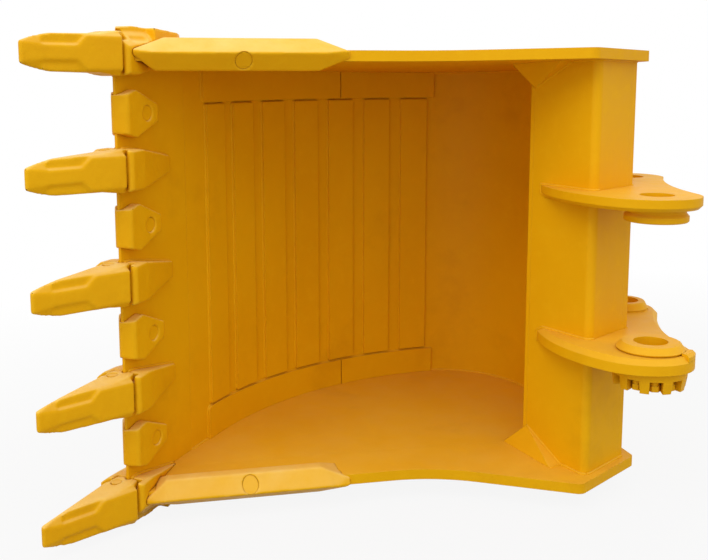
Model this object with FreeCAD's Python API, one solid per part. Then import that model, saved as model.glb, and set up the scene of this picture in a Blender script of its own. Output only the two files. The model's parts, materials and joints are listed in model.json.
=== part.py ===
"""Rock bucket of an excavator, lying on one side plate.

The origin is on the axis of the stick pin, midway between the two ears. +X runs along
the mouth from the lip to the ears, +Y runs into the bucket, and +Z is across its width.
"""
import FreeCAD, Part
import math
import os

os.makedirs("parts", exist_ok=True)
Vector = FreeCAD.Vector

# Hinge, millimetres and degrees
pin_spacing = 529.0
link_pin_angle = 70.0
pin_bore = 100.0
ear_gap = 414.0
ear_plate = 45.0
upper_ear_plate = 35.0
near_boss_radius = 127.0
far_boss_radius = 115.0
ear_valley_radius = 920.0
ear_chamfer = 15.0
upper_ear_chamfer = 10.0
ear_hook = [(190.0, 60.0), (485.0, 45.0)]

# Wrapper: its inner surface as seen from the side, from the lip edge to the torque tube
lip_out = 1514.0
lip_depth = 313.5
lip_heading = 53.0
lip_length = 340.0
lip_thickness = 50.0
lip_bevel_length = 70.0
lip_nose = 8.0
floor_flat = 160.0
floor_radius = 1180.0
floor_turn = 49.0
heel_radius = 335.0
heel_turn = 91.8
back_length = 640.0
wrapper_thickness = 25.0

# Sides
inside_width = 1270.0
side_taper = 2.0
taper_start = 275.0
side_bar_thickness = 32.0
side_bar_width = 170.0
side_plate_thickness = 25.0
side_plate_proud = 12.0
side_corner_reach = 29.0
side_bar_reach = 60.0
side_bar_end_heading = 13.0
mouth_out = 1470.0
mouth_depth = 300.0
mouth_heading = -1.0
mouth_slope = -28.0
bend_out = 572.0
bend_depth = 284.3
mouth_bend_radius = 560.0
hinge_corner_radius = 30.0
tube_overhang = 28.0

# Torque tube
tube_out = 227.0
tube_depth = 366.0
tube_heading = -69.0
tube_front = 260.0
tube_side_heading = 32.0
tube_corner_radius = 22.0
tube_plate = 20.0
closing_plate = 16.0
closing_heading = 22.0

# Gussets in the corners between torque tube and side bars
gusset_height = 80.0
gusset_reach = 82.0
gusset_length = 158.0
gusset_foot = 51.0
gusset_heel = 25.0

# Bosses on the inner faces of the ears
stick_boss_height = 30.0
stick_boss_radius = 92.0
stick_boss_neck = 84.0
stick_boss_lip = 17.0
stick_boss_flare = 9.0
link_boss_height = 28.0
link_boss_radius = 83.0
link_boss_top_radius = 72.0
boss_step = 8.0
boss_bevel = 3.0
groove_depth = 4.0
groove_width = 4.0

# Side clearance adjuster on the lower ear
collar_radius = 92.0
collar_flange_radius = 100.0
collar_top_radius = 87.0
collar_flange = 24.0
collar_clearance = 0.08
flange_gap = 0.3
shim_count = 4
shim_thickness = 1.5
adjuster_ring_height = 56.0
adjuster_ring_radius = 108.0
adjuster_ring_bevel = 5.0
pocket_depth = 37.0
pocket_radius = 19.0
adjuster_bolts = 10
first_bolt_angle = -109.0
bolt_circle_radius = 74.0
bolt_radius = 10.5
bolt_clearance = 0.2
bolt_head_flats = 32.0
bolt_head_height = 18.0
spacer_height = 16.0
spacer_radius = 15.0
bolt_grip = 55.0
lug_height = 9.0
lug_width = 24.0
lug_bevel = 9.0
lug_spans = ((-63.0, -33.0), (14.0, 38.0))

# Teeth and adapters, measured from the lip edge outward and from the lip's inner face
tooth_pitch = 327.0
tooth_count = 5
tooth_gap = 10.0
tooth_base = 22.0
tooth_top = 49.0
tooth_bottom = -99.0
tooth_tip_out = 311.0
tooth_tip_level = -61.0
tooth_heel_out = 273.0
tooth_heel_level = -90.0
tooth_half_width = 54.0
tooth_waist_out = 218.0
tooth_waist_half_width = 50.0
tooth_shoulder_out = 264.0
tooth_shoulder_half_width = 43.0
tooth_tip_half_width = 25.0
tooth_keel_level = -58.0
tooth_keel_rise = 4.5
tooth_keel_half_width = 24.0
tooth_near_bevel = 10.0
tooth_ear = [
    (80, 16, 12),
    (24, 36, 8),
    (-6, 27, 8),
    (-12, -12, 30),
    (-6, -42, 8),
    (24, -47, 8),
    (80, -34, 12),
]
tooth_ear_half_width = 62.0
tooth_ear_taper_out = 84.0
tooth_ear_clearance = 3.0
tooth_lip_clearance = 2.0
rib_half_width = 19.0
flute_depth = 8.0
flute_wall = 5.0
flute_start = 112.0
flute_full = 150.0
flute_end = 252.0
facet_lean = 12.0
facet_depth = 14.0
nose_length = 150.0
nose_base_half = (36.0, 46.0)
nose_tip_half = (22.0, 15.0)
nose_base_level = -25.0
nose_tip_level = -58.0
socket_clearance = 1.0
lock_pin_radius = 15.0
lock_pin_clearance = 0.4
lock_pin_recess = 3.0
lock_pin_out = 28.0
lock_pin_level = -24.0
adapter_top = 57.0
adapter_rim = 10.0
adapter_half_width = 60.0
adapter_near_half_width = 53.0
adapter_keel_level = -66.0
inner_leg_length = 246.0
outer_leg_length = 200.0
leg_end_half_width = 24.0

# Outer cheeks of the corner adapters
cheek_length = 340.0
cheek_front_thickness = 59.0
cheek_thickness = 66.0
cheek_end_thickness = 51.0
cheek_bevel_start = 672.0
cheek_bevel_end = 718.0
cheek_bevel_rear = -130.0
cheek_bevel_level = 14.0
cheek_scoop_radius = 18.0
cheek_scoop_depth = 5.0
cheek_scoop_start = -38.0
cheek_scoop_end = -96.0

# Lip shrouds
shroud_half_width = 69.0
shroud_far_half_width = 55.0
shroud_drop = 5.0
shroud_nose_half_width = 54.0
shroud_rear_half_width = 20.0
shroud_length = 168.0
shroud_overhang = 8.0
shroud_thickness = 34.0
shroud_shoulder = 52.0
shroud_far_wall = 20.0
shroud_hole_out = -104.0
shroud_hole_radius = 22.0
retainer_recess = 5.0
retainer_clearance = 0.5

# Side cutters on the side bars
cutter_start = 4.0
cutter_length = 622.0
cutter_wall = 28.0
cutter_inner_leg = 29.0
cutter_outer_leg = 34.0
cutter_bevel_depth = 73.0
cutter_bevel_height = 43.0
cutter_outer_reach = 95.0
cutter_inner_reach = 50.0
cutter_point = 92.0
cutter_plug_radius = 24.0
cutter_plug_drop = 22.0
cutter_plug_recess = 5.0

# Wear plates
strip_count = 7
strip_first = 512.0
strip_pitch = 161.0
strip_width = 110.0
strip_thickness = 10.0
strip_half_length = 500.0
liner_gap = 8.0
liner_start = 438.0
liner_seam = 1156.0
liner_end = 1562.0
liner_corner_radius = 22.0
seam_gap = 4.0
outer_strip_width = 100.0
outer_strip_thickness = 16.0
outer_strip_start = 400.0
outer_strip_places = (-480.0, -160.0, 160.0, 480.0)
side_wear_start = 760.0
side_wear_end = 1900.0
side_wear_width = 150.0
side_wear_thickness = 14.0

far = 3000.0
touching = 0.001


def ahead(point, heading, distance):
    """The point that lies a distance along a heading."""
    angle = math.radians(heading)
    return point + Vector(math.cos(angle), math.sin(angle), 0) * distance


def beside(point, heading, distance):
    """The point that lies a distance to the left of a heading."""
    return ahead(point, heading + 90, distance)


def meet(first, first_heading, second, second_heading):
    """The point where two lines in the side view cross."""
    along = ahead(Vector(), first_heading, 1)
    across = beside(Vector(), second_heading, 1)
    distance = (second - first).dot(across) / along.dot(across)
    return first + along * distance


def leg_length(leg):
    """Length of a straight leg, or of an arc given by its radius and turn."""
    if len(leg) == 1:
        return leg[0]
    return abs(math.radians(leg[1])) * leg[0]


def shortened(leg, length):
    """The first stretch of a leg."""
    if len(leg) == 1:
        return (length,)
    return (leg[0], leg[1] * length / leg_length(leg))


def trace(start, heading, legs, offset):
    """Edges of a tangent path moved to its left, with its end and last heading.

    A leg is (length,) when straight, or (radius, turn) with a turn to the right above 0.
    """
    edges = []
    for leg in legs:
        begin = beside(start, heading, offset)
        if len(leg) == 1:
            end = ahead(start, heading, leg[0])
            edges.append(Part.LineSegment(begin, beside(end, heading, offset)).toShape())
        else:
            radius, turn = leg
            reach = math.copysign(radius, turn)
            centre = beside(start, heading, -reach)
            middle_heading = heading - turn / 2
            heading = heading - turn
            middle = beside(centre, middle_heading, reach + offset)
            end = beside(centre, heading, reach)
            edges.append(Part.Arc(begin, middle, beside(end, heading, offset)).toShape())
        start = end
    return edges, start, heading


wrapper_legs = [
    (lip_length,),
    (floor_flat,),
    (floor_radius, floor_turn),
    (heel_radius, heel_turn),
    (back_length,),
]
floor_start = lip_length
heel_start = lip_length + floor_flat + leg_length(wrapper_legs[2])
back_start = heel_start + leg_length(wrapper_legs[3])
back_end = back_start + back_length


def wrapper_stretch(begin, end):
    """Start, heading and legs of the wrapper's inner surface between two distances."""
    skipped = []
    kept = []
    travelled = 0
    for leg in wrapper_legs:
        length = leg_length(leg)
        low = min(max(begin - travelled, 0), length)
        high = min(end - travelled, length)
        if low > touching:
            skipped.append(shortened(leg, low))
        if high > low + touching:
            kept.append(shortened(leg, high - low))
        travelled += length
    start, heading = trace(lip_edge, lip_heading, skipped, 0)[1:]
    return start, heading, kept


def flat_face(edges):
    """A face bounded by edges that close."""
    return Part.Face(Part.Wire(Part.__sortEdges__(edges)))


def raised(face, low, high):
    """A face of the side view made solid between two heights."""
    solid = face.extrude(Vector(0, 0, high - low))
    solid.translate(Vector(0, 0, low))
    return solid


def plate_along(start, heading, legs, inner, outer, low, high):
    """A plate that follows a path, between two offsets to its left and two heights."""
    near, end, end_heading = trace(start, heading, legs, inner)
    away = trace(start, heading, legs, outer)[0]
    caps = [
        Part.LineSegment(beside(start, heading, inner), beside(start, heading, outer)).toShape(),
        Part.LineSegment(beside(end, end_heading, inner), beside(end, end_heading, outer)).toShape(),
    ]
    return raised(flat_face(near + away + caps), low, high)


def wrapper_plate(begin, end, inner, outer, low=-far, high=far):
    """A plate on the wrapper; offsets above 0 lie outside the bucket."""
    start, heading, legs = wrapper_stretch(begin, end)
    return plate_along(start, heading, legs, inner, outer, low, high)


def rounded_edges(corners, closed=True):
    """Edges through corners (x, y) or (x, y, radius), each rounded by its radius."""
    points = [Vector(corner[0], corner[1], 0) for corner in corners]
    radii = [corner[2] if len(corner) > 2 else 0 for corner in corners]
    count = len(points)
    arcs = []
    ends = []
    for index, point in enumerate(points):
        at_end = not closed and index in (0, count - 1)
        if radii[index] == 0 or at_end:
            arcs.append(None)
            ends.append((point, point))
            continue
        back = (points[index - 1] - point).normalize()
        forth = (points[(index + 1) % count] - point).normalize()
        half = back.getAngle(forth) / 2
        reach = radii[index] / math.tan(half)
        inward = (back + forth).normalize()
        middle = point + inward * (radii[index] / math.sin(half) - radii[index])
        first = point + back * reach
        last = point + forth * reach
        arcs.append(Part.Arc(first, middle, last).toShape())
        ends.append((first, last))
    edges = []
    for index in range(count):
        if arcs[index]:
            edges.append(arcs[index])
        following = (index + 1) % count
        if following == 0 and not closed:
            continue
        edges.append(Part.LineSegment(ends[index][1], ends[following][0]).toShape())
    return edges


def prism(corners, low, high):
    """A solid with a rounded outline in the side view."""
    return raised(flat_face(rounded_edges(corners)), low, high)


def across_prism(corners, low, high):
    """A solid whose outline lies in the X-Z plane, between two levels of Y."""
    solid = raised(flat_face(rounded_edges(corners)), -high, -low)
    solid.rotate(Vector(), Vector(1, 0, 0), 90)
    return solid


def along_prism(corners, low, high):
    """A solid whose outline lies in the Y-Z plane, between two levels of X."""
    solid = raised(flat_face(rounded_edges(corners)), low, high)
    solid.rotate(Vector(), Vector(1, 1, 1), 120)
    return solid


def mirrored(corners):
    """Corners (x, y, radius) of half an outline, followed by their mirror images."""
    return corners + [(corner[0], -corner[1], *corner[2:]) for corner in reversed(corners)]


def turned(corners, centre, low=0.0):
    """A ring turned about an axis along Z; corners are (radius, height)."""
    wire = Part.Wire(rounded_edges(corners))
    solid = Part.Face(wire).revolve(Vector(), Vector(0, 1, 0), 360)
    solid.rotate(Vector(), Vector(1, 0, 0), 90)
    solid.translate(Vector(centre.x, centre.y, low))
    return solid


def rod(radius, centre, low, high):
    """A round bar along Z."""
    return Part.makeCylinder(radius, high - low, Vector(centre.x, centre.y, low))


def flipped(shape):
    """The same piece on the other side of the middle plane."""
    return shape.mirror(Vector(), Vector(0, 0, 1))


def save(name, *solids):
    """Write one node, with each of its pieces as a separate solid."""
    pieces = [solid.removeSplitter() for solid in solids]
    shape = pieces[0] if len(pieces) == 1 else Part.makeCompound(pieces)
    shape.exportStep("parts/" + name + ".step")


# Side view points that several pieces share
lip_edge = Vector(-lip_out, lip_depth, 0)
mouth_corner = Vector(-mouth_out, mouth_depth, 0)
mouth_bend = Vector(-bend_out, bend_depth, 0)
tube_edge = Vector(-tube_out, tube_depth, 0)
half_inside = inside_width / 2
inner_ear_face = ear_gap / 2
outer_ear_face = inner_ear_face + ear_plate
upper_ear_face = outer_ear_face - upper_ear_plate
stick_pin = Vector()
link_pin = ahead(stick_pin, link_pin_angle, pin_spacing)
back_point, back_heading = wrapper_stretch(back_start, back_end)[:2]
back_outer_point = beside(back_point, back_heading, wrapper_thickness)
side_edge_point = beside(back_outer_point, back_heading, side_plate_proud)
tube_corner = ahead(tube_edge, tube_heading, tube_front)
tube_back = meet(tube_corner, tube_side_heading, back_point, back_heading)
overhang_point = beside(tube_corner, tube_side_heading, -tube_overhang)
hinge_corner = meet(mouth_bend, mouth_slope, overhang_point, tube_side_heading)
far_corner = meet(overhang_point, tube_side_heading, side_edge_point, back_heading)
far_corner = ahead(far_corner, tube_side_heading, side_corner_reach)
lip_frame_turn = lip_heading + 180
near_slope = (tooth_tip_level - tooth_top) / (tooth_tip_out - tooth_base)


def side_gap(y):
    """Half of the inside width at a depth into the bucket."""
    return half_inside - (y - taper_start) * math.tan(math.radians(side_taper))


def between_sides(inset=0.0):
    """The tapering space between the side plates' inner faces."""
    corners = [
        (-far, side_gap(-far) - inset),
        (far, side_gap(far) - inset),
        (far, inset - side_gap(far)),
        (-far, inset - side_gap(-far)),
    ]
    return along_prism(corners, -far, far)


def side_slab(low, high):
    """A slab beside the bucket, between two distances outside the side's inner face."""
    corners = [
        (-far, side_gap(-far) + low),
        (far, side_gap(far) + low),
        (far, side_gap(far) + high),
        (-far, side_gap(-far) + high),
    ]
    return along_prism(corners, -far, far)


def lip_place(shape, height):
    """Carry a piece from lip axes (outward, above the lip's inner face, Z) to the lip edge."""
    placed = shape.copy()
    placed.rotate(Vector(), Vector(0, 0, 1), lip_frame_turn)
    placed.translate(lip_edge + Vector(0, 0, height))
    return placed


def mouth_place(shape):
    """Carry a piece from mouth axes (along, into the bucket, Z) to the mouth corner."""
    placed = shape.copy()
    placed.rotate(Vector(), Vector(0, 0, 1), mouth_heading)
    placed.translate(mouth_corner)
    return placed


def side_outline():
    """Outline of one side: mouth edge, hinge end and the curve round the wrapper."""
    bend = (mouth_bend.x, mouth_bend.y, mouth_bend_radius)
    foot = ahead(lip_edge, lip_heading, lip_nose + 4)
    front = rounded_edges(
        [
            (foot.x, foot.y),
            (mouth_corner.x, mouth_corner.y, 10),
            bend,
            (hinge_corner.x, hinge_corner.y, hinge_corner_radius),
            (far_corner.x, far_corner.y, 20),
            (side_edge_point.x, side_edge_point.y),
        ],
        closed=False,
    )
    outside = wrapper_thickness + side_plate_proud
    start, heading, legs = wrapper_stretch(lip_length, back_start)
    round_back, end, end_heading = trace(start, heading, legs, outside)
    step = Part.LineSegment(start, beside(start, heading, outside)).toShape()
    seat = Part.LineSegment(start, foot).toShape()
    return flat_face(front + round_back + [step, seat])


def side_bar_region():
    """The band of the side along the mouth edge and the torque tube."""
    bend = beside(mouth_bend, (mouth_heading + mouth_slope) / 2, side_bar_width)
    start = beside(mouth_corner, mouth_heading, side_bar_width)
    root = ahead(tube_edge, closing_heading, side_bar_reach)
    behind = beside(root, closing_heading, closing_plate + side_bar_reach)
    before = ahead(behind, closing_heading + 180, side_bar_reach * 1.5)
    beyond = ahead(behind, side_bar_end_heading, far)
    corners = [
        (-far, start.y),
        (start.x, start.y),
        (bend.x, bend.y, mouth_bend_radius - side_bar_width),
        (before.x, before.y, 60),
        (behind.x, behind.y, 40),
        (beyond.x, beyond.y),
        (far, -far),
        (-far, -far),
    ]
    return prism(corners, -far, far)


def lip_plate():
    """The lip, with a bevelled cutting edge on its outer side."""
    outer_half = half_inside + side_bar_thickness
    plate = wrapper_plate(0, lip_length, 0, lip_thickness, -outer_half, outer_half)
    bevel = prism(
        [
            (1, -lip_nose),
            (-lip_bevel_length, -lip_thickness),
            (-lip_bevel_length, -lip_thickness - 20),
            (60, -lip_thickness - 20),
            (60, -lip_nose),
        ],
        -far,
        far,
    )
    return plate.cut(lip_place(bevel, 0))


def torque_tube():
    """The bent plate and the closing plate of the torque tube."""
    tangent = tube_corner_radius * math.tan(math.radians(tube_side_heading - tube_heading) / 2)
    legs = [
        (tube_front - tangent,),
        (tube_corner_radius, tube_heading - tube_side_heading),
        ((tube_back - tube_corner).Length - tangent + 60,),
    ]
    bent = plate_along(tube_edge, tube_heading, legs, 0, tube_plate, -far, far)
    closing_legs = [(far / 4,)]
    closing = plate_along(tube_edge, closing_heading, closing_legs, 0, closing_plate, -far, far)
    outside = wrapper_plate(back_start - 100, back_end, 0, 600)
    inside = between_sides()
    bent = bent.cut(closing).cut(outside).common(inside)
    closing = closing.cut(outside).common(inside)
    return bent, closing


def tube_envelope():
    """Everything behind the torque tube's front and the back plate's outer face."""
    front_back = meet(tube_corner, tube_side_heading, back_outer_point, back_heading)
    top = ahead(back_outer_point, back_heading + 180, -40)
    start = ahead(tube_edge, tube_heading, -300)
    corners = [
        (start.x, start.y),
        (tube_corner.x, tube_corner.y, tube_corner_radius),
        (front_back.x, front_back.y),
        (top.x, top.y),
        (-far, top.y),
    ]
    return prism(corners, -far, far)


def ear_outline(offset):
    """Hinge ear, moved outward: two round ends, a hollow edge between them and a hook."""
    reach_near = near_boss_radius + ear_valley_radius
    reach_far = far_boss_radius + ear_valley_radius
    cosine = (reach_near**2 + pin_spacing**2 - reach_far**2) / (2 * reach_near * pin_spacing)
    valley_angle = link_pin_angle - math.degrees(math.acos(cosine))
    valley_centre = ahead(stick_pin, valley_angle, reach_near)
    to_far = valley_centre - link_pin
    far_angle = math.degrees(math.atan2(to_far.y, to_far.x))
    legs = [
        (far_boss_radius, 90 - far_angle),
        (ear_valley_radius, far_angle - valley_angle),
        (near_boss_radius, valley_angle + 90),
    ]
    start = ahead(link_pin, 90, far_boss_radius)
    edges, tip, heading = trace(start, 0, legs + ear_hook, offset)
    corners = [
        beside(tip, heading, offset),
        beside(tip, tube_heading, 60),
        Vector(link_pin.x - 130, start.y + 20, 0),
        beside(start, 0, offset),
    ]
    for first, last in zip(corners, corners[1:]):
        edges.append(Part.LineSegment(first, last).toShape())
    return Part.Wire(edges)


def hinge_ear(stick_hole_radius, inner_face, chamfer):
    """One ear above the middle plane, seated on the torque tube and the back plate."""
    chamfer_end = inner_face + chamfer
    full = ear_outline(0)
    full.translate(Vector(0, 0, chamfer_end))
    narrow = ear_outline(-chamfer)
    narrow.translate(Vector(0, 0, inner_face))
    ear = Part.Face(full).extrude(Vector(0, 0, outer_ear_face - chamfer_end))
    ear = ear.fuse(Part.makeLoft([narrow, full], True, True)).cut(tube_envelope())
    ear = ear.cut(rod(stick_hole_radius, stick_pin, 0, far))
    return ear.cut(rod(pin_bore / 2, link_pin, 0, far))


def stick_boss():
    """Ring on the upper ear's inner face: a neck, and a wider lip towards the stick."""
    low = inner_ear_face - stick_boss_height
    corners = [
        (pin_bore / 2, low),
        (stick_boss_radius - boss_bevel, low),
        (stick_boss_radius, low + boss_bevel),
        (stick_boss_radius, low + stick_boss_lip),
        (stick_boss_neck, low + stick_boss_lip + stick_boss_flare),
        (stick_boss_neck, upper_ear_face),
        (pin_bore / 2, upper_ear_face),
    ]
    return turned(corners, stick_pin)


def stepped_ring(top_radius, base_radius, height, base_level):
    """Corners of a tapering ring on a wider step, with a groove where it is seated."""
    low = base_level - height
    step = base_level - boss_step
    return [
        (pin_bore / 2, low),
        (top_radius - boss_bevel, low),
        (top_radius, low + boss_bevel),
        (base_radius - 2, step),
        (base_radius, step + 1),
        (base_radius, base_level - groove_width),
        (base_radius - groove_depth, base_level - groove_width),
        (base_radius - groove_depth, base_level),
    ]


def link_boss(ear_face):
    """Tapering ring on an ear's inner face with a groove at its root."""
    height = link_boss_height + ear_face - inner_ear_face
    corners = stepped_ring(link_boss_top_radius, link_boss_radius, height, ear_face)
    return turned(corners + [(pin_bore / 2, ear_face)], link_pin)


def bolt_angles():
    """Directions of the adjuster's bolts round the stick pin."""
    return [first_bolt_angle + 360.0 / adjuster_bolts * index for index in range(adjuster_bolts)]


def adjuster():
    """Sliding collar, shims, ring and bolts of the lower ear, worked out above the plane."""
    flange_seat = inner_ear_face - flange_gap
    ring_low = outer_ear_face + shim_count * shim_thickness
    ring_high = ring_low + adjuster_ring_height
    collar = turned(
        stepped_ring(collar_top_radius, collar_flange_radius, collar_flange, flange_seat)
        + [
            (collar_radius, flange_seat),
            (collar_radius, ring_low),
            (pin_bore / 2, ring_low),
        ],
        stick_pin,
    )
    ring = turned(
        [
            (pin_bore / 2, ring_low),
            (adjuster_ring_radius, ring_low),
            (adjuster_ring_radius, ring_high - 30),
            (adjuster_ring_radius - adjuster_ring_bevel, ring_high),
            (pin_bore / 2, ring_high),
        ],
        stick_pin,
    )
    pocket_floor = ring_high - pocket_depth
    seat = pocket_floor + spacer_height
    thread_end = pocket_floor - bolt_grip
    head_radius = bolt_head_flats / 2 / math.cos(math.radians(30))
    bolts = []
    for angle in bolt_angles():
        place = ahead(stick_pin, angle, bolt_circle_radius)
        hole = rod(bolt_radius + bolt_clearance, place, thread_end - 4, far)
        collar = collar.cut(hole)
        pocket = Part.makeBox(adjuster_ring_radius, pocket_radius * 2, far)
        pocket.translate(Vector(bolt_circle_radius, -pocket_radius, pocket_floor))
        pocket.rotate(Vector(), Vector(0, 0, 1), angle)
        ring = ring.cut(pocket.fuse([rod(pocket_radius, place, pocket_floor, far), hole]))
        shank = rod(bolt_radius, place, thread_end, seat)
        spacer = rod(spacer_radius, place, pocket_floor, seat)
        corners = [ahead(place, angle + 30 + 60 * side, head_radius) for side in range(6)]
        head = prism([(corner.x, corner.y) for corner in corners], seat, seat + bolt_head_height)
        bolts.append(shank.fuse([spacer, head]))
    shims = []
    for index in range(shim_count):
        low = outer_ear_face + index * shim_thickness
        corners = [
            (collar_radius + collar_clearance, low),
            (adjuster_ring_radius - 3, low),
            (adjuster_ring_radius - 3, low + shim_thickness),
            (collar_radius + collar_clearance, low + shim_thickness),
        ]
        shims.append(turned(corners, stick_pin))
    return collar, ring, bolts, shims


def ear_end_lugs(ear):
    """Two curved lugs that fill the chamfer at the outer end of an ear and stand above it."""
    inner = near_boss_radius - lug_width
    low = inner_ear_face - lug_height
    rim = turned(
        [
            (inner, low),
            (near_boss_radius - lug_bevel, low),
            (near_boss_radius, low + lug_bevel),
            (near_boss_radius, inner_ear_face + ear_chamfer + 1),
            (inner, inner_ear_face + ear_chamfer + 1),
        ],
        stick_pin,
    ).cut(ear)
    lugs = []
    for begin, end in lug_spans:
        reach = near_boss_radius * 2
        first = ahead(stick_pin, begin, reach)
        last = ahead(stick_pin, end, reach)
        lugs.append(rim.common(prism([(0, 0), (first.x, first.y), (last.x, last.y)], 0, far)))
    return lugs


def corner_gusset():
    """Closed three-sided gusset between side bar and torque tube."""
    side_foot = ahead(tube_edge, tube_heading, gusset_length)
    outer_foot = beside(side_foot, tube_heading, -gusset_foot)
    inner_foot = beside(ahead(tube_edge, tube_heading, -gusset_reach), tube_heading, -gusset_heel)
    base = [tube_edge, side_foot, outer_foot, inner_foot]
    feet = [Vector(point.x, point.y, side_gap(point.y)) for point in base]
    apex = Vector(tube_edge.x, tube_edge.y, side_gap(tube_edge.y) - gusset_height)
    faces = [Part.Face(Part.makePolygon(feet + [feet[0]]))]
    for index in range(len(feet)):
        following = feet[(index + 1) % len(feet)]
        faces.append(Part.Face(Part.makePolygon([feet[index], following, apex, feet[index]])))
    return Part.makeSolid(Part.makeShell(faces))


def nose_block(clearance, length):
    """Tapered nose of an adapter, or with a clearance the socket that takes it."""
    wires = []
    stations = (
        (tooth_base - tooth_gap - 1, nose_base_half, nose_base_level),
        (tooth_base + length, nose_tip_half, nose_tip_level),
    )
    for out, half, level in stations:
        side = half[0] + clearance
        rise = half[1] + clearance
        points = [
            Vector(out, level - rise, -side),
            Vector(out, level + rise, -side),
            Vector(out, level + rise, side),
            Vector(out, level - rise, side),
        ]
        wires.append(Part.makePolygon(points + [points[0]]))
    return Part.makeLoft(wires, True, True)


def keeled(near_corners, half_width, keel_level):
    """A long block along the lip axes whose sides draw in below a level, as a keel does."""
    slope = (tooth_half_width - tooth_keel_half_width) / (tooth_keel_level - tooth_bottom)
    foot_level = 1.2 * tooth_bottom
    corners = near_corners + [
        (keel_level, half_width),
        (foot_level, half_width - slope * (keel_level - foot_level)),
    ]
    return along_prism(mirrored(corners), -far, far)


def tooth_sides():
    """The space between a tooth's flat sides, with its near edges bevelled and its keel drawn in."""
    corners = [
        (1, tooth_half_width - tooth_near_bevel),
        (-tooth_near_bevel, tooth_half_width),
        (-far, tooth_half_width),
    ]
    block = along_prism(mirrored(corners), -far, far)
    block.rotate(Vector(), Vector(0, 0, 1), math.degrees(math.atan(near_slope)))
    block.translate(Vector(tooth_base, tooth_top, 0))
    keel = keeled([(far, tooth_half_width)], tooth_half_width, tooth_keel_level)
    keel.rotate(Vector(tooth_base, tooth_keel_level, 0), Vector(0, 0, 1), tooth_keel_rise)
    return block.common(keel)


def flute(side):
    """Hollow beside the rib on a tooth's near face, open to the side and to the tip."""
    edge = tooth_half_width + flute_wall
    wires = []
    for depth, inset in ((flute_depth, flute_wall), (-1.0, 0.0)):
        outline = [
            (flute_start + inset, edge),
            (flute_full + inset, rib_half_width + inset),
            (flute_end - inset, rib_half_width + inset),
            (flute_end - facet_lean, edge),
        ]
        points = []
        for out, across in outline:
            level = tooth_top + near_slope * (out - tooth_base) - depth
            points.append(Vector(out, level, side * across))
        wires.append(Part.makePolygon(points + [points[0]]))
    return Part.makeLoft(wires, True, True)


def tip_facet(side):
    """Wedge cut from a tooth's near face between the rib's end and the side of the tip."""
    rib_end = Vector(flute_end, tooth_top + near_slope * (flute_end - tooth_base), side * rib_half_width)
    tip = Vector(tooth_tip_out + 1, tooth_tip_level, side * tooth_tip_half_width)
    side_end = Vector(flute_end - facet_lean, rib_end.y - facet_depth, side * tooth_half_width)
    beyond = tip + (side_end - rib_end)
    base = Part.makePolygon([rib_end, tip, beyond, side_end, rib_end])
    return Part.Face(base).extrude(Vector(0, far / 10, 0))


def tooth_ear_grown(clearance):
    """Outline of a tooth's ears with a clearance all round."""
    outs = [corner[0] for corner in tooth_ear]
    levels = [corner[1] for corner in tooth_ear]
    low = min(levels) - clearance
    high = max(levels) + clearance
    back = min(outs) - clearance
    return [(back, low), (back, high), (far, high), (far, low)]


def lip_notch():
    """Room for the lip's edge between a tooth's ears, in lip axes."""
    gap = tooth_lip_clearance
    corners = [
        (gap, gap),
        (gap, -lip_nose - gap),
        (-lip_bevel_length, -lip_thickness - gap),
        (-lip_bevel_length, gap),
    ]
    return prism(corners, -far, far)


def tooth():
    """One tooth in lip axes: a chisel with a rib between two flutes, and an ear on each side."""
    body = prism(
        [
            (tooth_base, tooth_top, 3),
            (tooth_tip_out, tooth_tip_level, 7),
            (tooth_heel_out, tooth_heel_level, 12),
            (tooth_base, tooth_bottom, 5),
        ],
        -far,
        far,
    )
    plan = [
        (tooth_base, tooth_half_width, 4),
        (tooth_waist_out, tooth_waist_half_width, 80),
        (tooth_shoulder_out, tooth_shoulder_half_width, 40),
        (tooth_tip_out, tooth_tip_half_width, 12),
    ]
    body = body.common(across_prism(mirrored(plan), -far, far))
    body = body.common(tooth_sides())
    for side in (-1, 1):
        body = body.cut(flute(side)).cut(tip_facet(side))
    body = body.cut(nose_block(socket_clearance, nose_length + 3))
    socket_side = nose_base_half[0] + socket_clearance
    ear_plan = [
        (-far, tooth_ear_half_width),
        (tooth_base, tooth_ear_half_width),
        (tooth_ear_taper_out, tooth_half_width - 1),
    ]
    ears = prism(tooth_ear, -far, far).common(across_prism(mirrored(ear_plan), -far, far))
    ears = ears.cut(prism(tooth_ear_grown(far), -socket_side, socket_side))
    body = body.fuse(ears.cut(lip_notch()))
    pin_place = Vector(lock_pin_out, lock_pin_level, 0)
    return body.cut(rod(lock_pin_radius + lock_pin_clearance, pin_place, -far, far))


def adapter_profile():
    """Side outline of an adapter in lip axes, over the lip and both of its legs."""
    front = tooth_base - tooth_gap
    return [
        (front, adapter_top - 0.7 * adapter_rim, 3),
        (front - adapter_rim, adapter_top, 6),
        (-60, adapter_top - 7, 60),
        (6 - inner_leg_length, 13, 5),
        (-inner_leg_length, 0),
        (-outer_leg_length, -lip_thickness),
        (6 - outer_leg_length, -lip_thickness - 12, 5),
        (-50, tooth_bottom - 6, 40),
        (front, tooth_bottom + 2, 8),
    ]


def adapter():
    """Adapter in lip axes before the lip is cut out of it."""
    front = tooth_base - tooth_gap
    body = prism(adapter_profile(), -far, far)
    plan = [
        (front, adapter_half_width, 4),
        (-40, adapter_half_width, 40),
        (-inner_leg_length, leg_end_half_width, 18),
    ]
    body = body.common(across_prism(mirrored(plan), -far, far))
    bevel = adapter_half_width - adapter_near_half_width
    shoulder = [(adapter_top + 1, adapter_near_half_width), (adapter_top - 2 * bevel, adapter_half_width)]
    body = body.common(keeled(shoulder, adapter_half_width, adapter_keel_level))
    return body.fuse(nose_block(0, nose_length))


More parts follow.
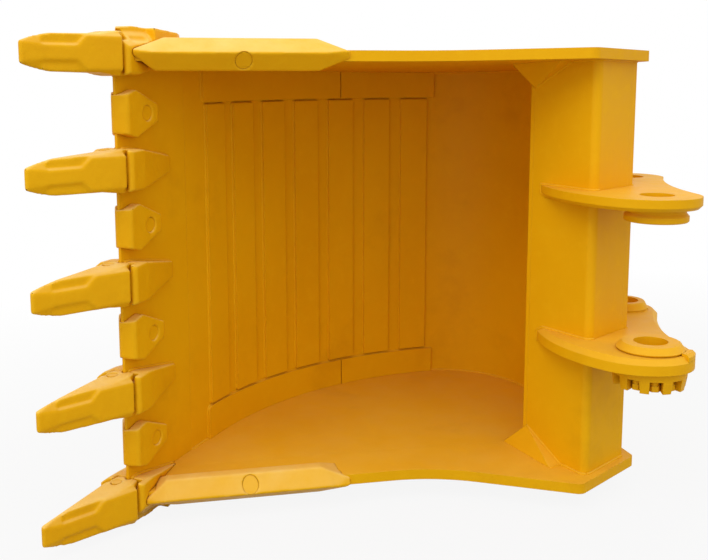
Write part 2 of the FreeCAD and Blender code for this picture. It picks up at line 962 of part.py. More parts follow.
def ear_pockets():
    """Room in an adapter for the ears of its tooth and for the lock pin."""
    outer = tooth_ear_half_width + tooth_ear_clearance
    pocket = prism(tooth_ear_grown(tooth_ear_clearance), nose_base_half[0], outer)
    pin_place = Vector(lock_pin_out, lock_pin_level, 0)
    hole = rod(lock_pin_radius + lock_pin_clearance, pin_place, -outer, outer)
    return [pocket, flipped(pocket), hole]


def cheek():
    """Outer cheek of the upper corner adapter in lip axes, lying beside the side plate."""
    front = tooth_base - tooth_gap
    inner = half_inside
    seat = half_inside + side_bar_thickness
    outline = [
        (front, 40, 6),
        (-60, 56, 60),
        (-cheek_length + 60, 24, 40),
        (-cheek_length, -6, 20),
        (-cheek_length + 30, -lip_thickness, 20),
        (-170, tooth_bottom + 12, 40),
        (-118, tooth_bottom + 15, 30),
        (front, 15, 8),
    ]
    plan = [
        (front + 1, inner),
        (front + 1, seat + cheek_front_thickness, 8),
        (-71, seat + cheek_thickness, 80),
        (-cheek_length - 1, seat + cheek_end_thickness, 8),
        (-cheek_length - 1, inner),
    ]
    return prism(outline, -far, far).common(across_prism(plan, -far, far))


def cheek_bevel():
    """What is cut from the upper corner adapter: a bevel towards the cheek, and a scoop in it."""
    near = adapter_top + 1
    corners = [
        (near, cheek_bevel_start),
        (far, cheek_bevel_start),
        (far, far),
        (cheek_bevel_level, far),
        (cheek_bevel_level, cheek_bevel_end),
    ]
    bevel = along_prism(corners, cheek_bevel_rear, far)
    run = Vector(0, near - cheek_bevel_level, cheek_bevel_start - cheek_bevel_end)
    normal = Vector(0, -run.z, run.y).normalize()
    middle = Vector(0, near, cheek_bevel_start) - run * 0.5
    axis = middle + normal * (cheek_scoop_radius - cheek_scoop_depth)
    first = axis + Vector(cheek_scoop_end, 0, 0)
    last = axis + Vector(cheek_scoop_start, 0, 0)
    scoop = Part.makeCylinder(cheek_scoop_radius, last.x - first.x, first, Vector(1, 0, 0))
    scoop = scoop.fuse([Part.makeSphere(cheek_scoop_radius, end) for end in (first, last)])
    return bevel.fuse(scoop)


def lip_shroud():
    """Lip shroud in lip axes: a bevelled bumper and a six-sided rear over both lip faces."""
    far_level = -lip_thickness - shroud_far_wall
    profile = [
        (-7, shroud_thickness + 2, 14),
        (shroud_overhang, -4, 6),
        (shroud_overhang - 4, -14, 8),
        (-lip_bevel_length - 6, far_level - 4, 20),
        (-shroud_length + 33, far_level - 6, 6),
        (-shroud_length + 27, -lip_thickness + 1),
        (-shroud_length, 1),
        (-shroud_length, shroud_thickness - 10, 4),
        (-shroud_length + 12, shroud_thickness, 8),
        (-30, shroud_thickness, 60),
    ]
    plan = [
        (shroud_overhang + 1, shroud_nose_half_width, 8),
        (-8, shroud_nose_half_width + 3, 20),
        (-shroud_shoulder, shroud_half_width, 16),
        (-shroud_length, shroud_rear_half_width, 10),
    ]
    section = [
        (far, shroud_half_width),
        (0, shroud_half_width),
        (far_level, shroud_far_half_width),
        (2 * far_level, shroud_far_half_width),
    ]
    body = prism(profile, -far, far).common(across_prism(mirrored(plan), -far, far))
    return body.common(along_prism(mirrored(section), -far, far))


def shroud_plug(radius, low, high):
    """Round bar through a shroud's inner leg, in lip axes."""
    return Part.makeCylinder(radius, high - low, Vector(shroud_hole_out, low, 0), Vector(0, 1, 0))


def cutter_levels():
    """Heights of a side cutter: inner face, bevel edge and outer face."""
    inner = half_inside - cutter_inner_leg
    outer = half_inside + side_bar_thickness + cutter_outer_leg
    return inner, outer - cutter_bevel_height, outer


def side_cutter():
    """Side cutter in mouth axes, before the side bar is cut out of it."""
    inner, bevel, outer = cutter_levels()
    section = [
        (-cutter_wall, inner, 5),
        (-cutter_wall, bevel, 8),
        (cutter_bevel_depth - cutter_wall, outer, 12),
        (cutter_outer_reach, outer, 8),
        (cutter_outer_reach + 10, half_inside + side_bar_thickness - 1),
        (cutter_outer_reach + 10, half_inside + 4),
        (cutter_inner_reach, inner, 8),
    ]
    body = along_prism(section, cutter_start, cutter_start + cutter_length)
    end = cutter_start + cutter_length
    front_view = [
        (cutter_start, bevel - 6, 10),
        (cutter_start + cutter_point * 0.7, inner - 1, 20),
        (end - cutter_point, inner - 1, 20),
        (end, bevel - 16, 8),
        (end, bevel + 4, 8),
        (end - cutter_point, outer + 1, 20),
        (cutter_start + cutter_point, outer + 1, 20),
        (cutter_start, bevel + 8, 10),
    ]
    body = body.common(across_prism(front_view, -far, far))
    side_view = [
        (cutter_start, 12 - cutter_wall, 6),
        (cutter_start + 60, -cutter_wall, 60),
        (end - 70, -cutter_wall, 60),
        (end, 14 - cutter_wall, 6),
        (end, cutter_outer_reach * 2),
        (cutter_start, cutter_outer_reach * 2),
    ]
    return body.common(prism(side_view, -far, far))


def cutter_plug(radius, recess):
    """Round plug through a side cutter's front wall, in mouth axes."""
    bevel = cutter_levels()[1]
    middle = cutter_start + cutter_length / 2
    place = Vector(middle, 0, bevel - cutter_plug_drop)
    return Part.makeCylinder(radius, cutter_wall - recess, place, Vector(0, -1, 0))


def wear_strip(index):
    """One transverse wear strip inside the bucket."""
    centre = strip_first + strip_pitch * index
    half = strip_width / 2
    return wrapper_plate(
        centre - half, centre + half, 0, -strip_thickness, -strip_half_length, strip_half_length
    )


def corner_liner(begin, end, rounded):
    """A liner plate along the upper side plate, between two distances along the wrapper."""
    low = strip_half_length + liner_gap
    plate = wrapper_plate(begin, end, 0, -strip_thickness, low, far).common(between_sides())
    if not rounded:
        return plate
    start, heading = wrapper_stretch(begin, begin + 1)[:2]
    corner = Vector(start.x, start.y, low)
    round_bar = Part.makeCylinder(liner_corner_radius, 200, Vector(), Vector(0, 1, 0))
    round_bar.translate(Vector(liner_corner_radius, -100, liner_corner_radius))
    notch = Part.makeBox(liner_corner_radius * 2, 200, liner_corner_radius * 2)
    notch.translate(Vector(-liner_corner_radius, -100, -liner_corner_radius))
    notch = notch.cut(round_bar)
    notch.rotate(Vector(), Vector(0, 0, 1), heading)
    notch.translate(corner)
    return plate.cut(notch)


def outer_strip(place):
    """A wear strip outside, along the floor and round the heel."""
    inner = wrapper_thickness
    half = outer_strip_width / 2
    return wrapper_plate(
        outer_strip_start, back_start + 60, inner, inner + outer_strip_thickness, place - half, place + half
    )


# Wrapper, lip and sides
lip = lip_plate()
inside = between_sides()
floor = wrapper_plate(floor_start, heel_start, 0, wrapper_thickness).common(inside)
heel = wrapper_plate(heel_start, back_start, 0, wrapper_thickness).common(inside)
back = wrapper_plate(back_start, back_end, 0, wrapper_thickness).common(inside)
tube_front_side = plate_along(tube_back, tube_side_heading, [(400,)], -300, 0, -far, far)
tube_front_side.translate(ahead(Vector(), tube_side_heading, -200))
back = back.cut(tube_front_side)

side_prism = raised(side_outline(), 0, far).cut(lip)
bar_region = side_bar_region()
side_bar = side_prism.common(bar_region).common(side_slab(0, side_bar_thickness))
side_plate = side_prism.cut(bar_region).common(side_slab(0, side_plate_thickness))
bent, closing = torque_tube()
gusset = corner_gusset()

save("lip_plate", lip)
save("floor_plate", floor)
save("heel_plate", heel)
save("back_plate", back)
save("side_bar_upper", side_bar)
save("side_bar_lower", flipped(side_bar))
save("side_plate_upper", side_plate)
save("side_plate_lower", flipped(side_plate))
save("torque_tube_bent_plate", bent)
save("torque_tube_closing_plate", closing)
save("corner_gusset_upper", gusset)
save("corner_gusset_lower", flipped(gusset))

# Hinge ears and bosses
save("hinge_ear_upper", hinge_ear(pin_bore / 2, upper_ear_face, upper_ear_chamfer))
collar_ear = hinge_ear(collar_radius + collar_clearance, inner_ear_face, ear_chamfer)
save("hinge_ear_lower", flipped(collar_ear))
save("stick_boss_upper", stick_boss())
save("link_boss_upper", link_boss(upper_ear_face))
save("link_boss_lower", flipped(link_boss(inner_ear_face)))
save("ear_end_lugs", *[flipped(lug) for lug in ear_end_lugs(collar_ear)])

# Adjuster on the lower ear
collar, ring, bolts, shims = adjuster()
save("adjuster_collar", flipped(collar))
save("adjuster_ring", flipped(ring))
save("adjuster_bolts", *[flipped(bolt) for bolt in bolts])
save("adjuster_shims", *[flipped(shim) for shim in shims])

# Side cutters
cutter = mouth_place(side_cutter().cut(cutter_plug(cutter_plug_radius, -10))).cut(side_bar).cut(lip)
plug = mouth_place(cutter_plug(cutter_plug_radius - retainer_clearance, cutter_plug_recess)).cut(side_bar)
save("side_cutter_upper", cutter)
save("side_cutter_lower", flipped(cutter))
save("cutter_retainers", plug, flipped(plug))

# Teeth, adapters and lock pins
tooth_body = tooth()
adapter_body = adapter()
pockets = ear_pockets()
pin_place = Vector(lock_pin_out, lock_pin_level, 0)
pin_half = tooth_ear_half_width - lock_pin_recess
lock_pin = rod(lock_pin_radius, pin_place, -pin_half, pin_half)
lock_pins = []
for number in range(tooth_count):
    height = tooth_pitch * ((tooth_count - 1) / 2 - number)
    save("tooth_%d" % (number + 1), lip_place(tooth_body, height))
    lock_pins.append(lip_place(lock_pin, height))
    if height < adapter_half_width - half_inside:
        seated = flipped(corner_adapter)
    elif height > half_inside - adapter_half_width:
        corner = adapter_body.copy()
        corner.translate(Vector(0, 0, height))
        corner = lip_place(corner.fuse(cheek()).cut(cheek_bevel()), 0)
        placed_pockets = [lip_place(pocket, height) for pocket in pockets]
        corner_adapter = corner.cut([lip, floor, side_bar, side_plate, cutter] + placed_pockets)
        seated = corner_adapter
    else:
        seated = lip_place(adapter_body.cut(pockets), height).cut(lip)
    save("adapter_%d" % (number + 1), seated)
save("tooth_lock_pins", *lock_pins)

# Lip shrouds between the teeth
shroud_body = lip_shroud().cut(shroud_plug(shroud_hole_radius, 0, far))
retainer = shroud_plug(shroud_hole_radius - retainer_clearance, 0, shroud_thickness - retainer_recess)
retainers = []
for number in range(tooth_count - 1):
    height = tooth_pitch * ((tooth_count - 2) / 2 - number) - shroud_drop
    save("lip_shroud_%d" % (number + 1), lip_place(shroud_body, height).cut(lip))
    retainers.append(lip_place(retainer, height))
save("shroud_retainers", *retainers)

# Wear plates
for index in range(strip_count):
    save("wear_strip_%d" % (index + 1), wear_strip(index))
front_liner = corner_liner(liner_start, liner_seam - seam_gap / 2, True)
rear_liner = corner_liner(liner_seam + seam_gap / 2, liner_end, False)
save("corner_liner_upper_front", front_liner)
save("corner_liner_upper_rear", rear_liner)
save("corner_liner_lower_front", flipped(front_liner))
save("corner_liner_lower_rear", flipped(rear_liner))
save("outer_wear_strips", *[outer_strip(place) for place in outer_strip_places])
side_wear = wrapper_plate(side_wear_start, side_wear_end, wrapper_thickness, -side_wear_width)
side_wear = side_wear.common(side_slab(side_plate_thickness, side_plate_thickness + side_wear_thickness))
side_wear = side_wear.common(raised(side_outline(), 0, far))
save("side_wear_plate_upper", side_wear)
save("side_wear_plate_lower", flipped(side_wear))
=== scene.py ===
"""The looks of the rock bucket: paint, rounded castings, weld beads, floor, light and camera."""
import json
import math
import random

import bmesh
import bpy
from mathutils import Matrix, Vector
from mathutils.bvhtree import BVHTree

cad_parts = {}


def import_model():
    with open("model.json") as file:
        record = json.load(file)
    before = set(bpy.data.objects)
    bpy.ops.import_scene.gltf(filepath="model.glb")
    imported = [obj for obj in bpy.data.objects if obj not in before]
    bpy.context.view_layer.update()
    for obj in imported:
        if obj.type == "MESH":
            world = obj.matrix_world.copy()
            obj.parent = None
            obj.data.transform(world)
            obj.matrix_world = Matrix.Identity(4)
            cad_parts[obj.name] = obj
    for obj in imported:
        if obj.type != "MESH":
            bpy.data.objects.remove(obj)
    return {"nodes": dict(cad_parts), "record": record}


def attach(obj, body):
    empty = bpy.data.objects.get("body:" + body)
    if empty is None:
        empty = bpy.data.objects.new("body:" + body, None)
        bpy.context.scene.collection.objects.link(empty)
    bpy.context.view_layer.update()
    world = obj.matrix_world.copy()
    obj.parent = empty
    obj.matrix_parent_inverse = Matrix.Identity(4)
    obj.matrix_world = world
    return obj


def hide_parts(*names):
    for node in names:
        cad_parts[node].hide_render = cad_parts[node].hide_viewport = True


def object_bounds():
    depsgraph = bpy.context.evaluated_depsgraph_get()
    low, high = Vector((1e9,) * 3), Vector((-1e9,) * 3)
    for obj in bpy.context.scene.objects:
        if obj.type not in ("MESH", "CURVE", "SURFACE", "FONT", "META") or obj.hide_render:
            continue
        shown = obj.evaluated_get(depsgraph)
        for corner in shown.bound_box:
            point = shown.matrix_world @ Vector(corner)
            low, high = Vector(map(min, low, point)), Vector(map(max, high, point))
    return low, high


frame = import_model()
cad_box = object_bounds()

# Places and sizes in metres, in the row frame
floor_level = cad_box[0][2]
floor_size = 60.0
floor_glow = 0.9
floor_near = 2.0
floor_far = 4.0
sky_strength = 1.05
camera_place = (-1.503, -2.543, 0.597)
camera_down = math.radians(8.22)
camera_turn = math.radians(-13.32)
camera_lens = 49.97
camera_lift = -0.0901
lamp_place = (-2.9, -1.9, 4.2)
lamp_aim = (-0.6, 0.3, 0.4)
lamp_size = 3.5
lamp_power = 90

# Colours, as linear light
paint_colour = (0.84, 0.43, 0.0025, 1)
paint_pale = (0.86, 0.465, 0.005, 1)
paint_deep = (0.80, 0.39, 0.002, 1)
# Edges: paler where paint is rubbed off, and a painted highlight where edges catch the light
paint_edge_wear_and_highlight = (0.90, 0.54, 0.03, 1)
# Up-facing tops: pale frost, and a painted sheen of sky light
frost_and_sheen_colour = (0.94, 0.70, 0.26, 1)
# Dirt in random smudges, and painted shade in corners and gaps
dirt_and_shade_colour = (0.42, 0.14, 0.004, 1)
chip_colour = (0.27, 0.10, 0.014, 1)
floor_colour = (0.4, 0.4, 0.4, 1)
white = (1, 1, 1, 1)
paint_specular = 0.09

# Patterns in the paint, in cycles a metre
cloud_scale = 2.2
smudge_scale = 3.2
frost_and_sheen_scale = 7
mottle_scale = 24
edge_patch_scale = 45
chip_patch_scale = 9
chip_scale = 60

# Castings: the grid that they are rounded on, how often, and the share of faces that is kept
casting_grid = 0.0035
casting_passes = 7
casting_smoothing = 0.5
casting_share = 0.5
same_point = 1e-5

# Side cutters: the front face leans into the bucket, from its ridge to its inner edge
mouth_corner = (-1.470, 0.300)
mouth_fall = 0.0175
cutter_front = 0.028
cutter_ridge = 0.658
cutter_inner = 0.606
cutter_lean = 0.040
cutter_lean_reach = 0.060

# Weld beads
wide_bead = 0.005
boss_bead = 0.004
thin_bead = 0.0035
bead_sides = 7
bead_end = 0.45
ripple_pitch = 0.009
ripple_height = 0.14
touching = 0.0012
sharp_edge = math.radians(20)


def tree_of(name):
    """A new material, and its nodes, links and main shader."""
    material = bpy.data.materials.new(name)
    material.use_nodes = True
    nodes = material.node_tree.nodes
    return material, nodes, material.node_tree.links, nodes["Principled BSDF"]


def noise(nodes, links, scale, detail, roughness=0.5, stretch=(1, 1, 1)):
    """Noise that is fixed to the object, in cycles a metre."""
    place = nodes.new("ShaderNodeTexCoord")
    mapping = nodes.new("ShaderNodeMapping")
    mapping.inputs["Scale"].default_value = stretch
    texture = nodes.new("ShaderNodeTexNoise")
    texture.inputs["Scale"].default_value = scale
    texture.inputs["Detail"].default_value = detail
    texture.inputs["Roughness"].default_value = roughness
    links.new(place.outputs["Object"], mapping.inputs["Vector"])
    links.new(mapping.outputs["Vector"], texture.inputs["Vector"])
    return texture.outputs["Fac"]


def spread(nodes, links, source, low, high, least=0.0, most=1.0):
    """Stretches the part of a value between low and high to least and most."""
    node = nodes.new("ShaderNodeMapRange")
    node.inputs["From Min"].default_value = low
    node.inputs["From Max"].default_value = high
    node.inputs["To Min"].default_value = least
    node.inputs["To Max"].default_value = most
    links.new(source, node.inputs["Value"])
    return node.outputs["Result"]


def maths(nodes, links, operation, first, second):
    """Arithmetic on two values, either of which may be a number."""
    node = nodes.new("ShaderNodeMath")
    node.operation = operation
    for socket, value in zip(node.inputs, (first, second)):
        if isinstance(value, (int, float)):
            socket.default_value = value
        else:
            links.new(value, socket)
    return node.outputs["Value"]


def blend(nodes, links, amount, first, second):
    """Mixes two colours; each is a colour or a socket."""
    node = nodes.new("ShaderNodeMix")
    node.data_type = "RGBA"
    links.new(amount, node.inputs["Factor"])
    for index, value in ((6, first), (7, second)):
        if isinstance(value, tuple):
            node.inputs[index].default_value = value
        else:
            links.new(value, node.inputs[index])
    return node.outputs[2]


def edge_mask(nodes, links, radius):
    """1 near the edges of a piece and 0 on its flats, and the softened normal."""
    bevel = nodes.new("ShaderNodeBevel")
    bevel.samples = 4
    bevel.inputs["Radius"].default_value = radius
    geometry = nodes.new("ShaderNodeNewGeometry")
    dot = nodes.new("ShaderNodeVectorMath")
    dot.operation = "DOT_PRODUCT"
    links.new(bevel.outputs["Normal"], dot.inputs[0])
    links.new(geometry.outputs["Normal"], dot.inputs[1])
    return spread(nodes, links, dot.outputs["Value"], 0.995, 0.86), bevel.outputs["Normal"]


def ridge_mask(nodes, links):
    """1 on the ridges of a dense mesh, 0 on its flats and in its hollows."""
    geometry = nodes.new("ShaderNodeNewGeometry")
    return spread(nodes, links, geometry.outputs["Pointiness"], 0.51, 0.56)


def crevice_mask(nodes, links, reach):
    """1 deep in a corner or gap, 0 on open surfaces; used for painted shade in corners."""
    hidden = nodes.new("ShaderNodeAmbientOcclusion")
    hidden.samples = 4
    hidden.inputs["Distance"].default_value = reach
    return spread(nodes, links, hidden.outputs["AO"], 0.45, 0.1)


def up_mask(nodes, links):
    """1 where a surface faces up, 0 where it stands upright or faces down."""
    geometry = nodes.new("ShaderNodeNewGeometry")
    parts = nodes.new("ShaderNodeSeparateXYZ")
    links.new(geometry.outputs["Normal"], parts.inputs["Vector"])
    return spread(nodes, links, parts.outputs["Z"], 0.3, 0.9)


def bumps(nodes, links, layers, normal):
    """Layers of (height, distance) on top of a normal."""
    for height, distance in layers:
        bump = nodes.new("ShaderNodeBump")
        bump.inputs["Strength"].default_value = 0.5
        bump.inputs["Distance"].default_value = distance
        links.new(height, bump.inputs["Height"])
        links.new(normal, bump.inputs["Normal"])
        normal = bump.outputs["Normal"]
    return normal


def paint(name, edge_radius, grain, swell, frost_and_sheen, casting):
    """Yellow paint in soft shades, with edges paler from wear and a painted highlight, frost and a
    painted sheen on top, dirt in smudges and painted shade in corners.

    grain and swell are the metal's bumps below, as (scale, depth), and the frost-and-sheen amount
    says how much frost and painted sheen lies on top. A casting has a dense mesh, and is chipped
    along its ridges.
    """
    material, nodes, links, shader = tree_of(name)
    shader.inputs["Specular IOR Level"].default_value = paint_specular
    clouds = noise(nodes, links, cloud_scale, 3)
    colour = blend(nodes, links, spread(nodes, links, clouds, 0.35, 0.65), paint_deep, paint_colour)
    mottle = noise(nodes, links, mottle_scale, 5, 0.65)
    pale = spread(nodes, links, mottle, 0.5, 0.75, 0, 0.5)
    colour = blend(nodes, links, pale, colour, paint_pale)
    edges, normal = edge_mask(nodes, links, edge_radius)
    if casting:
        edges = ridge_mask(nodes, links)
    # Paler edges: paint rubbed off in patches, and a painted highlight along the edges
    edge_patchiness = spread(nodes, links, noise(nodes, links, edge_patch_scale, 3), 0.35, 0.65, 0.1, 0.7)
    worn_and_highlit = maths(nodes, links, "MULTIPLY", edges, edge_patchiness)
    colour = blend(nodes, links, worn_and_highlit, colour, paint_edge_wear_and_highlight)
    smudges = spread(nodes, links, noise(nodes, links, smudge_scale, 6, 0.62), 0.58, 0.72, 0, 0.16)
    colour = blend(nodes, links, smudges, colour, dirt_and_shade_colour)
    # Paler tops: frost, and a painted sheen where surfaces face up to the light
    frost_and_sheen_noise = noise(nodes, links, frost_and_sheen_scale, 5, 0.6)
    frost_and_sheen_cover = spread(nodes, links, frost_and_sheen_noise, 0.3, 0.75, 0.35 * frost_and_sheen, frost_and_sheen)
    frosted_and_sheened = maths(nodes, links, "MULTIPLY", up_mask(nodes, links), frost_and_sheen_cover)
    colour = blend(nodes, links, frosted_and_sheened, colour, frost_and_sheen_colour)
    # Painted shade: darker in corners and gaps, found by ambient occlusion
    painted_shade_in_corners = maths(nodes, links, "MULTIPLY", crevice_mask(nodes, links, 0.02), 0.6)
    colour = blend(nodes, links, painted_shade_in_corners, colour, dirt_and_shade_colour)
    layers = [
        (noise(nodes, links, swell[0], 2), swell[1]),
        (noise(nodes, links, grain[0], 3), grain[1]),
    ]
    gloss = spread(nodes, links, mottle, 0.3, 0.7, 0.42, 0.56)
    if casting:
        small = noise(nodes, links, chip_scale, 3, 0.5)
        patches = noise(nodes, links, chip_patch_scale, 1)
        spots = maths(nodes, links, "MULTIPLY", small, patches)
        chipped = spread(nodes, links, maths(nodes, links, "MULTIPLY", spots, edges), 0.30, 0.32)
        colour = blend(nodes, links, chipped, colour, chip_colour)
        gloss = maths(nodes, links, "ADD", gloss, maths(nodes, links, "MULTIPLY", chipped, 0.3))
        layers.append((maths(nodes, links, "SUBTRACT", 1.0, chipped), 0.0006))
    links.new(colour, shader.inputs["Base Color"])
    links.new(gloss, shader.inputs["Roughness"])
    links.new(bumps(nodes, links, layers, normal), shader.inputs["Normal"])
    return material


def dress(names, material):
    """Gives CAD nodes a material."""
    for name in names:
        data = frame["nodes"][name].data
        data.materials.clear()
        data.materials.append(material)


plate_paint = paint("plate paint", 0.0025, (420, 0.0004), (14, 0.002), 0.15, False)
cast_paint = paint("cast paint", 0.007, (240, 0.0009), (26, 0.004), 0.65, True)
weld_paint = paint("weld paint", 0.001, (500, 0.0005), (90, 0.0015), 0.15, False)
pin_paint = paint("pin paint", 0.002, (300, 0.0006), (60, 0.0015), 0.4, False)
slot_paints = {"plate_paint": plate_paint, "cast_paint": cast_paint, "steel_pin": pin_paint}
slots = {part["node"]: part["material_slot"] for part in frame["record"]["subparts"]}
for slot_name, slot_paint in slot_paints.items():
    dress([node for node in slots if slots[node] == slot_name], slot_paint)


def solid_mesh(name):
    """A node's mesh with its split corners joined again."""
    mesh = bmesh.new()
    mesh.from_mesh(frame["nodes"][name].data)
    bmesh.ops.remove_doubles(mesh, verts=mesh.verts, dist=same_point)
    return mesh


def lean_back(mesh):
    """Leans the front face of a side cutter, or of its pins, into the bucket."""
    for vertex in mesh.verts:
        depth = vertex.co.y - mouth_corner[1] + (vertex.co.x - mouth_corner[0]) * mouth_fall
        inward = (cutter_ridge - abs(vertex.co.z)) / (cutter_ridge - cutter_inner)
        ahead = 1 - (depth + cutter_front) / cutter_lean_reach
        vertex.co.y += cutter_lean * min(max(inward, 0), 1) * min(max(ahead, 0), 1)


def soft_casting(name):
    """A casting with rounded edges and softened hollows, which stands for its CAD node."""
    mesh = solid_mesh(name)
    if name.startswith("side_cutter"):
        lean_back(mesh)
    data = bpy.data.meshes.new(name + "_sharp")
    mesh.to_mesh(data)
    mesh.free()
    piece = bpy.data.objects.new(name + "_cast", data)
    bpy.context.scene.collection.objects.link(piece)
    grid = piece.modifiers.new("grid", "REMESH")
    grid.mode = "VOXEL"
    grid.voxel_size = casting_grid
    smooth = piece.modifiers.new("smooth", "SMOOTH")
    smooth.factor = casting_smoothing
    smooth.iterations = casting_passes
    fewer = piece.modifiers.new("fewer", "DECIMATE")
    fewer.ratio = casting_share
    solved = piece.evaluated_get(bpy.context.evaluated_depsgraph_get())
    rounded = bpy.data.meshes.new_from_object(solved)
    piece.modifiers.clear()
    piece.data = rounded
    for face in rounded.polygons:
        face.use_smooth = True
    rounded.materials.clear()
    rounded.materials.append(cast_paint)
    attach(piece, "bucket")
    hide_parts(name)


def leaned_pins(name):
    """The side cutters' pins, cut to their leaning face."""
    mesh = solid_mesh(name)
    lean_back(mesh)
    data = bpy.data.meshes.new(name + "_leaned")
    mesh.to_mesh(data)
    mesh.free()
    data.materials.append(pin_paint)
    piece = bpy.data.objects.new(name + "_leaned", data)
    bpy.context.scene.collection.objects.link(piece)
    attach(piece, "bucket")
    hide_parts(name)


def seam_edges(name, neighbours):
    """Sharp edges of a node that lie on one of its neighbours, as pairs of points."""
    trees = [BVHTree.FromBMesh(solid_mesh(other)) for other in neighbours]
    mesh = solid_mesh(name)
    found = []
    for edge in mesh.edges:
        if len(edge.link_faces) != 2 or edge.calc_face_angle(0) < sharp_edge:
            continue
        ends = [v.co.copy() for v in edge.verts]
        checks = ends + [(ends[0] + ends[1]) / 2]
        for tree in trees:
            if all(tree.find_nearest(point, touching)[0] is not None for point in checks):
                found.append(ends)
                break
    mesh.free()
    return found


def chains(edges):
    """Joins edges that share an end into long lines."""
    def key(point):
        return tuple(round(value, 4) for value in point)

    at = {}
    for index, ends in enumerate(edges):
        for point in ends:
            at.setdefault(key(point), []).append(index)
    used = set()

    def walk(index, start):
        line = [start]
        while index is not None:
            used.add(index)
            first, last = edges[index]
            start = last if key(first) == key(start) else first
            line.append(start)
            joined = [i for i in at[key(start)] if i not in used]
            index = joined[0] if joined and len(at[key(start)]) == 2 else None
        return line

    lines = []
    order = sorted(range(len(edges)), key=lambda i: min(len(at[key(p)]) == 2 for p in edges[i]))
    for index in order:
        if index in used:
            continue
        first, last = edges[index]
        start = first if len(at[key(first)]) != 2 else last
        lines.append(walk(index, start))
    return lines


def even_points(line, step):
    """Points along a line at an even step, with both of its ends."""
    points = []
    left = 0.0
    for first, last in zip(line, line[1:]):
        length = (last - first).length
        place = left
        while place < length:
            points.append(first.lerp(last, place / length))
            place += step
        left = place - length
    points.append(line[-1])
    return points


def bead(mesh, line, radius, rng):
    """Adds one rippled weld bead along a line."""
    points = even_points(line, ripple_pitch / 2)
    if len(points) < 4:
        return
    rings = []
    for index, point in enumerate(points):
        before = points[max(index - 1, 0)]
        after = points[min(index + 1, len(points) - 1)]
        along = (after - before).normalized()
        side = side - along * side.dot(along) if rings else along.orthogonal()
        side.normalize()
        other = along.cross(side)
        size = radius * (1 + ripple_height * (index % 2) + rng.uniform(-0.06, 0.06))
        if index in (0, len(points) - 1):
            size *= bead_end
        ring = []
        for corner in range(bead_sides):
            angle = 2 * math.pi * corner / bead_sides
            outward = side * math.cos(angle) + other * math.sin(angle)
            ring.append(mesh.verts.new(point + outward * size))
        rings.append(ring)
    for first, last in zip(rings, rings[1:]):
        for corner in range(bead_sides):
            following = (corner + 1) % bead_sides
            mesh.faces.new((first[corner], first[following], last[following], last[corner]))
    mesh.faces.new(rings[0][::-1])
    mesh.faces.new(rings[-1])


def weld(name, radius, joins):
    """One piece with all beads of a kind; joins are (node, its neighbours)."""
    rng = random.Random(name)
    mesh = bmesh.new()
    for node, neighbours in joins:
        for line in chains(seam_edges(node, neighbours)):
            bead(mesh, line, radius, rng)
    for face in mesh.faces:
        face.smooth = True
    data = bpy.data.meshes.new(name)
    mesh.to_mesh(data)
    mesh.free()
    data.materials.append(weld_paint)
    piece = bpy.data.objects.new(name, data)
    bpy.context.scene.collection.objects.link(piece)
    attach(piece, "bucket")


wrapper = ["floor_plate", "heel_plate", "back_plate"]
tube = ["torque_tube_bent_plate", "torque_tube_closing_plate"]
sides = ["side_bar_upper", "side_bar_lower", "side_plate_upper", "side_plate_lower"]
strips = sorted(n for n in frame["nodes"] if n.startswith("wear_strip"))
liners = sorted(n for n in frame["nodes"] if n.startswith("corner_liner"))
adapters = sorted(n for n in frame["nodes"] if n.startswith("adapter"))
ears = ["hinge_ear_upper", "hinge_ear_lower"]
gussets = ["corner_gusset_upper", "corner_gusset_lower"]

weld("weld_ears", wide_bead, [(name, tube + wrapper) for name in ears])
weld("weld_gussets", thin_bead, [(name, tube + sides) for name in gussets])
weld("weld_tube", wide_bead, [(name, sides) for name in tube])
weld("weld_adapters", wide_bead, [(name, ["lip_plate"]) for name in adapters])
weld("weld_strips", thin_bead, [(name, wrapper) for name in strips + liners])
weld("weld_wrapper", wide_bead, [(name, sides) for name in wrapper + ["lip_plate"]])
weld("weld_bosses", boss_bead, [
    ("stick_boss_upper", ["hinge_ear_upper"]),
    ("link_boss_upper", ["hinge_ear_upper"]),
    ("link_boss_lower", ["hinge_ear_lower"]),
])
weld("weld_wear_plates", wide_bead, [
    ("side_wear_plate_upper", sides),
    ("side_wear_plate_lower", sides),
    ("outer_wear_strips", wrapper),
])

for casting_name in sorted(node for node in slots if slots[node] == "cast_paint"):
    soft_casting(casting_name)
leaned_pins("cutter_retainers")


def seen_rays(nodes, links):
    """1 for the rays that show the background: the camera's, and those in metal and glass."""
    rays = nodes.new("ShaderNodeLightPath").outputs
    mirrored = maths(nodes, links, "MAXIMUM", rays["Is Glossy Ray"], rays["Is Transmission Ray"])
    return maths(nodes, links, "MAXIMUM", rays["Is Camera Ray"], mirrored)


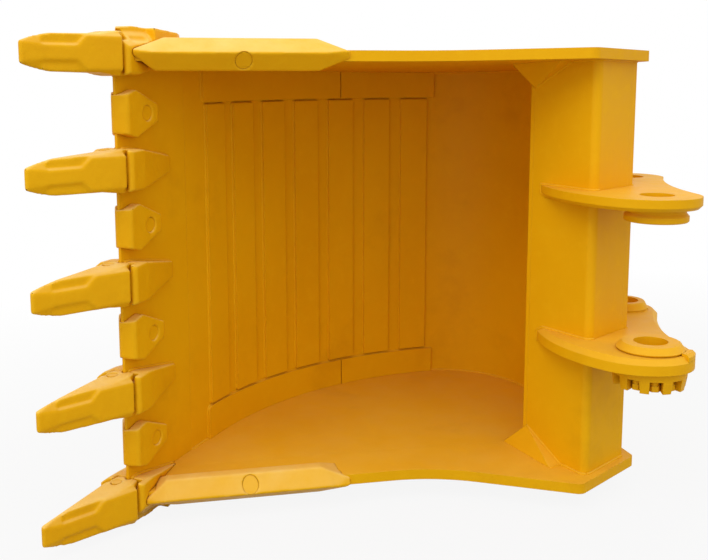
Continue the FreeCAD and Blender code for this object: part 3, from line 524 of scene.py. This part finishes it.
def floor():
    """A pale floor that shows as white where no shadow falls, and all white far away."""
    bpy.ops.mesh.primitive_plane_add(size=floor_size, location=(0, 0, floor_level))
    plane = bpy.context.object
    plane.name = "floor"
    material, nodes, links, shader = tree_of("floor")
    shader.inputs["Base Color"].default_value = floor_colour
    shader.inputs["Roughness"].default_value = 0.9
    glow = nodes.new("ShaderNodeEmission")
    glow.inputs["Color"].default_value = white
    place = nodes.new("ShaderNodeTexCoord")
    distance = nodes.new("ShaderNodeVectorMath")
    distance.operation = "LENGTH"
    links.new(place.outputs["Object"], distance.inputs[0])
    share = spread(nodes, links, distance.outputs["Value"], floor_near, floor_far, floor_glow, 1)
    mix = nodes.new("ShaderNodeMixShader")
    links.new(maths(nodes, links, "MULTIPLY", seen_rays(nodes, links), share), mix.inputs["Fac"])
    links.new(shader.outputs["BSDF"], mix.inputs[1])
    links.new(glow.outputs["Emission"], mix.inputs[2])
    links.new(mix.outputs["Shader"], nodes["Material Output"].inputs["Surface"])
    plane.data.materials.append(material)


def lamp(name, place, aim, size, power):
    """A square soft light at a place, turned to its aim."""
    data = bpy.data.lights.new(name, "AREA")
    data.size = size
    data.energy = power
    lamp_object = bpy.data.objects.new(name, data)
    bpy.context.scene.collection.objects.link(lamp_object)
    lamp_object.location = place
    lamp_object.rotation_euler = (Vector(place) - Vector(aim)).to_track_quat("Z", "Y").to_euler()


def world():
    """Even light from all round, seen as white by the camera."""
    sky = bpy.data.worlds.new("studio")
    bpy.context.scene.world = sky
    sky.use_nodes = True
    nodes = sky.node_tree.nodes
    links = sky.node_tree.links
    nodes["Background"].inputs["Color"].default_value = white
    strength = spread(nodes, links, seen_rays(nodes, links), 0, 1, sky_strength, 1)
    links.new(strength, nodes["Background"].inputs["Strength"])


def camera():
    """The camera of the photograph."""
    data = bpy.data.cameras.new("camera")
    data.sensor_width = 36
    data.lens = camera_lens
    data.shift_y = camera_lift
    data.clip_end = 200
    camera_object = bpy.data.objects.new("camera", data)
    bpy.context.scene.collection.objects.link(camera_object)
    camera_object.location = camera_place
    camera_object.rotation_euler = (math.pi / 2 - camera_down, 0, camera_turn)
    bpy.context.scene.camera = camera_object


floor()
world()
lamp("key", lamp_place, lamp_aim, lamp_size, lamp_power)
camera()
bpy.context.scene.view_settings.view_transform = "Standard"
